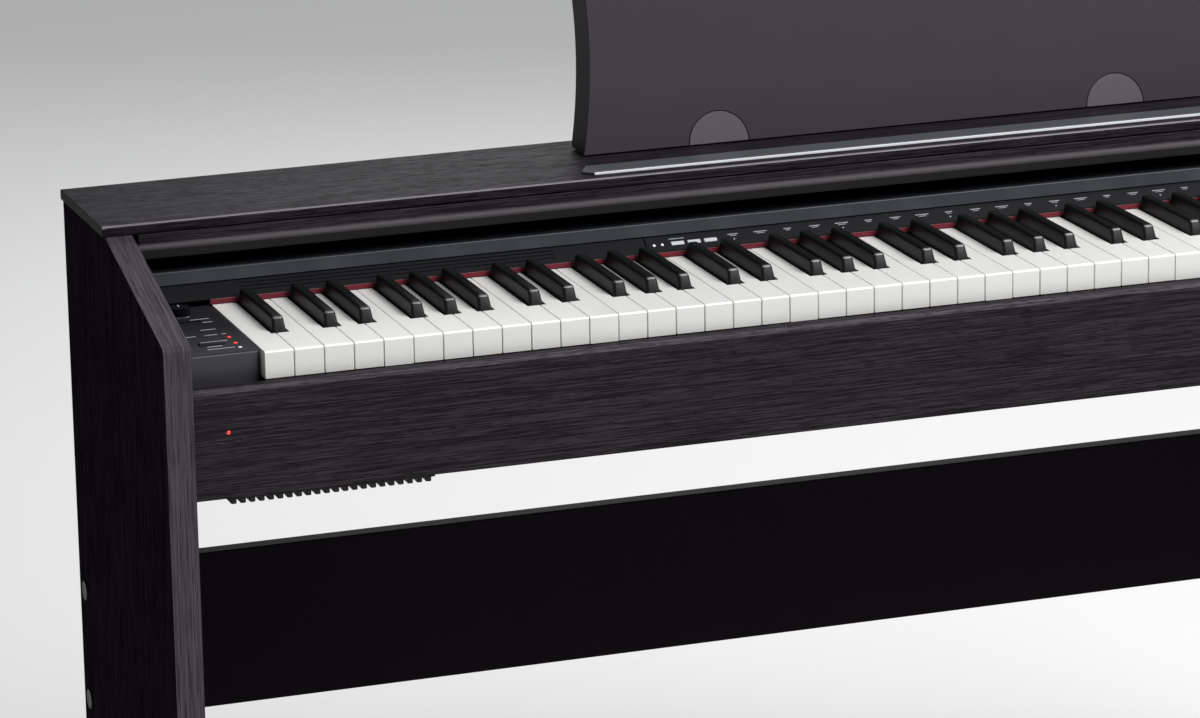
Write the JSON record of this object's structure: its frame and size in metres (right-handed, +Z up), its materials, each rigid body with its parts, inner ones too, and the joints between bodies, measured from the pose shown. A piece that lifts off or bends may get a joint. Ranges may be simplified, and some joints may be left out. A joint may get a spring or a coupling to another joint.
{
  "type": "digital piano on stand",
  "caption": "Slim console digital piano on a panel stand, with weighted keys, a sliding two-leaf key cover, a lift-out music rest and a three-pedal unit.",
  "frame": {"origin": "on the floor under the middle of the cabinet's bounding box", "axes": "+X to the player's right, along the keyboard; +Y away from the player, to the instrument's back; +Z up"},
  "size_m": [1.39, 0.3086, 1.0043],
  "materials": {
    "dark_wood": "satin dark wood grain foil",
    "plain_dark_board": "smooth dark laminate",
    "white_key_plastic": "satin gloss",
    "black_key_plastic": "fine matte texture",
    "console_plastic": "fine texture",
    "light_button_plastic": "satin",
    "rest_plastic": "satin",
    "rest_bracket_plastic": "satin",
    "black_plastic": "fine texture",
    "silver_trim": "polished edge",
    "red_felt": "felt",
    "stop_felt": "felt",
    "steel": "zinc plated",
    "pedal_brass": "polished",
    "adjuster_rubber": "matte",
    "indicator_lens": "clear moulded",
    "circuit_board": "solder mask"
  },
  "bodies": {
    "cabinet": {"bolt_caps": "black_plastic", "case_back": "plain_dark_board", "case_brackets": "steel", "console_panel": "console_plastic", "console_strip": "console_plastic", "cover_guides": "black_plastic", "end_blocks": "console_plastic", "floor_glides": "black_plastic", "headphone_and_power_sockets": "black_plastic", "indicator_lenses": "indicator_lens", "key_chassis": "steel", "key_pivot_bar": "steel", "key_slip": "dark_wood", "key_stop_felt": "stop_felt", "keybed_board": "plain_dark_board", "ledge_trim": "silver_trim", "left_side_panel": "dark_wood", "lower_stretcher": "plain_dark_board", "main_circuit_board": "circuit_board", "modesty_panel": "plain_dark_board", "music_ledge": "black_plastic", "panel_bolts": "steel", "pedal_box": "black_plastic", "pedal_pivot_rod": "steel", "red_felt_strip": "red_felt", "right_side_panel": "dark_wood", "speakers": "black_plastic", "top_board": "dark_wood", "vent_comb": "black_plastic"},
    "cover_carriage": {"cover_carriage": "steel"},
    "cover_rear": {"cover_rear_leaf": "plain_dark_board"},
    "cover_front": {"cover_front_leaf": "plain_dark_board", "cover_handle": "dark_wood", "cover_finger_lip": "black_plastic"},
    "music_rest": {"music_rest_front": "rest_plastic", "music_rest_back": "rest_plastic", "music_rest_brackets": "rest_bracket_plastic"},
    "soft_pedal": {"soft_pedal": "pedal_brass"},
    "sostenuto_pedal": {"sostenuto_pedal": "pedal_brass"},
    "damper_pedal": {"damper_pedal": "pedal_brass"},
    "pedal_adjuster": {"pedal_adjuster": "adjuster_rubber"},
    "volume_knob": {"volume_knob": "console_plastic"},
    "power_button": {"power_button": "console_plastic"},
    "rhythm_button": {"rhythm_button": "console_plastic"},
    "function_button": {"function_button": "console_plastic"},
    "piano_button": {"piano_button": "light_button_plastic"},
    "organ_button": {"organ_button": "light_button_plastic"},
    "tone_button": {"tone_button": "light_button_plastic"},
    "key_c": {"keys_c": "white_key_plastic"},
    "key_c_sharp": {"keys_c_sharp": "black_key_plastic"},
    "key_d": {"keys_d": "white_key_plastic"},
    "key_d_sharp": {"keys_d_sharp": "black_key_plastic"},
    "key_e": {"keys_e": "white_key_plastic"},
    "key_f": {"keys_f": "white_key_plastic"},
    "key_f_sharp": {"keys_f_sharp": "black_key_plastic"},
    "key_g": {"keys_g": "white_key_plastic"},
    "key_g_sharp": {"keys_g_sharp": "black_key_plastic"},
    "key_a": {"keys_a": "white_key_plastic"},
    "key_a_sharp": {"keys_a_sharp": "black_key_plastic"},
    "key_b": {"keys_b": "white_key_plastic"}
  },
  "joints": [
    {"name": "cover_slide", "type": "slide", "parent": "cabinet", "child": "cover_carriage", "axis": [0, -1, 0], "range_m": [0, 0.1]},
    {"name": "cover_tilt", "type": "hinge", "parent": "cover_carriage", "child": "cover_rear", "pos_m": [0, 0.1285, 0.776], "axis": [1, 0, 0], "range_deg": [0, 12.4]},
    {"name": "cover_extend", "type": "slide", "parent": "cover_rear", "child": "cover_front", "axis": [0, -1, 0], "range_m": [0, 0.0681]},
    {"name": "music_rest_lift", "type": "slide", "parent": "cabinet", "child": "music_rest", "axis": [0, 0.1736, 0.9848], "range_m": [0, 0.02]},
    {"name": "soft_pedal_press", "type": "hinge", "parent": "cabinet", "child": "soft_pedal", "pos_m": [-0.072, 0.1045, 0.078], "axis": [1, 0, 0], "range_deg": [0, 4.8], "stiffness_Nm_per_rad": 8, "springref_deg": -8.59},
    {"name": "sostenuto_pedal_press", "type": "hinge", "parent": "cabinet", "child": "sostenuto_pedal", "pos_m": [0, 0.1045, 0.078], "axis": [1, 0, 0], "range_deg": [0, 4.8], "stiffness_Nm_per_rad": 8, "springref_deg": -8.59},
    {"name": "damper_pedal_press", "type": "hinge", "parent": "cabinet", "child": "damper_pedal", "pos_m": [0.072, 0.1045, 0.078], "axis": [1, 0, 0], "range_deg": [0, 4.8], "stiffness_Nm_per_rad": 8, "springref_deg": -8.59},
    {"name": "pedal_adjuster_screw", "type": "slide", "parent": "cabinet", "child": "pedal_adjuster", "axis": [0, 0, 1], "range_m": [0, 0.006]},
    {"name": "volume_turn", "type": "hinge", "parent": "cabinet", "child": "volume_knob", "pos_m": [-0.64175, -0.0055, 0.728], "axis": [0, 0, -1], "range_deg": [0, 270]},
    {"name": "power_button_press", "type": "slide", "parent": "cabinet", "child": "power_button", "axis": [0, 0, -1], "range_m": [0, 0.0015], "stiffness_N_per_m": 400, "springref_m": -0.003},
    {"name": "rhythm_button_press", "type": "slide", "parent": "cabinet", "child": "rhythm_button", "axis": [0, 0, -1], "range_m": [0, 0.001], "stiffness_N_per_m": 400, "springref_m": -0.003},
    {"name": "function_button_press", "type": "slide", "parent": "cabinet", "child": "function_button", "axis": [0, 0, -1], "range_m": [0, 0.001], "stiffness_N_per_m": 400, "springref_m": -0.003},
    {"name": "piano_button_press", "type": "slide", "parent": "cabinet", "child": "piano_button", "axis": [0, 0.6247, -0.7809], "range_m": [0, 0.001], "stiffness_N_per_m": 400, "springref_m": -0.003},
    {"name": "organ_button_press", "type": "slide", "parent": "cabinet", "child": "organ_button", "axis": [0, 0.6247, -0.7809], "range_m": [0, 0.001], "stiffness_N_per_m": 400, "springref_m": -0.003},
    {"name": "tone_button_press", "type": "slide", "parent": "cabinet", "child": "tone_button", "axis": [0, 0.6247, -0.7809], "range_m": [0, 0.001], "stiffness_N_per_m": 400, "springref_m": -0.003},
    {"name": "key_c_press", "type": "hinge", "parent": "cabinet", "child": "key_c", "pos_m": [0, 0.0785, 0.718], "axis": [1, 0, 0], "range_deg": [0, 2.7], "stiffness_Nm_per_rad": 9.6, "springref_deg": -10.31},
    {"name": "key_c_sharp_press", "type": "hinge", "parent": "cabinet", "child": "key_c_sharp", "pos_m": [0, 0.0785, 0.718], "axis": [1, 0, 0], "range_deg": [0, 2.7], "stiffness_Nm_per_rad": 8.4, "springref_deg": -10.31},
    {"name": "key_d_press", "type": "hinge", "parent": "cabinet", "child": "key_d", "pos_m": [0, 0.0785, 0.718], "axis": [1, 0, 0], "range_deg": [0, 2.7], "stiffness_Nm_per_rad": 8.4, "springref_deg": -10.31},
    {"name": "key_d_sharp_press", "type": "hinge", "parent": "cabinet", "child": "key_d_sharp", "pos_m": [0, 0.0785, 0.718], "axis": [1, 0, 0], "range_deg": [0, 2.7], "stiffness_Nm_per_rad": 8.4, "springref_deg": -10.31},
    {"name": "key_e_press", "type": "hinge", "parent": "cabinet", "child": "key_e", "pos_m": [0, 0.0785, 0.718], "axis": [1, 0, 0], "range_deg": [0, 2.7], "stiffness_Nm_per_rad": 8.4, "springref_deg": -10.31},
    {"name": "key_f_press", "type": "hinge", "parent": "cabinet", "child": "key_f", "pos_m": [0, 0.0785, 0.718], "axis": [1, 0, 0], "range_deg": [0, 2.7], "stiffness_Nm_per_rad": 8.4, "springref_deg": -10.31},
    {"name": "key_f_sharp_press", "type": "hinge", "parent": "cabinet", "child": "key_f_sharp", "pos_m": [0, 0.0785, 0.718], "axis": [1, 0, 0], "range_deg": [0, 2.7], "stiffness_Nm_per_rad": 8.4, "springref_deg": -10.31},
    {"name": "key_g_press", "type": "hinge", "parent": "cabinet", "child": "key_g", "pos_m": [0, 0.0785, 0.718], "axis": [1, 0, 0], "range_deg": [0, 2.7], "stiffness_Nm_per_rad": 8.4, "springref_deg": -10.31},
    {"name": "key_g_sharp_press", "type": "hinge", "parent": "cabinet", "child": "key_g_sharp", "pos_m": [0, 0.0785, 0.718], "axis": [1, 0, 0], "range_deg": [0, 2.7], "stiffness_Nm_per_rad": 8.4, "springref_deg": -10.31},
    {"name": "key_a_press", "type": "hinge", "parent": "cabinet", "child": "key_a", "pos_m": [0, 0.0785, 0.718], "axis": [1, 0, 0], "range_deg": [0, 2.7], "stiffness_Nm_per_rad": 9.6, "springref_deg": -10.31},
    {"name": "key_a_sharp_press", "type": "hinge", "parent": "cabinet", "child": "key_a_sharp", "pos_m": [0, 0.0785, 0.718], "axis": [1, 0, 0], "range_deg": [0, 2.7], "stiffness_Nm_per_rad": 9.6, "springref_deg": -10.31},
    {"name": "key_b_press", "type": "hinge", "parent": "cabinet", "child": "key_b", "pos_m": [0, 0.0785, 0.718], "axis": [1, 0, 0], "range_deg": [0, 2.7], "stiffness_Nm_per_rad": 9.6, "springref_deg": -10.31}
  ],
  "couplings": [
    {"joint": "cover_tilt", "follows": "cover_slide", "rad_per_m": 2.164},
    {"joint": "cover_extend", "follows": "cover_slide", "ratio": 0.68}
  ]
}
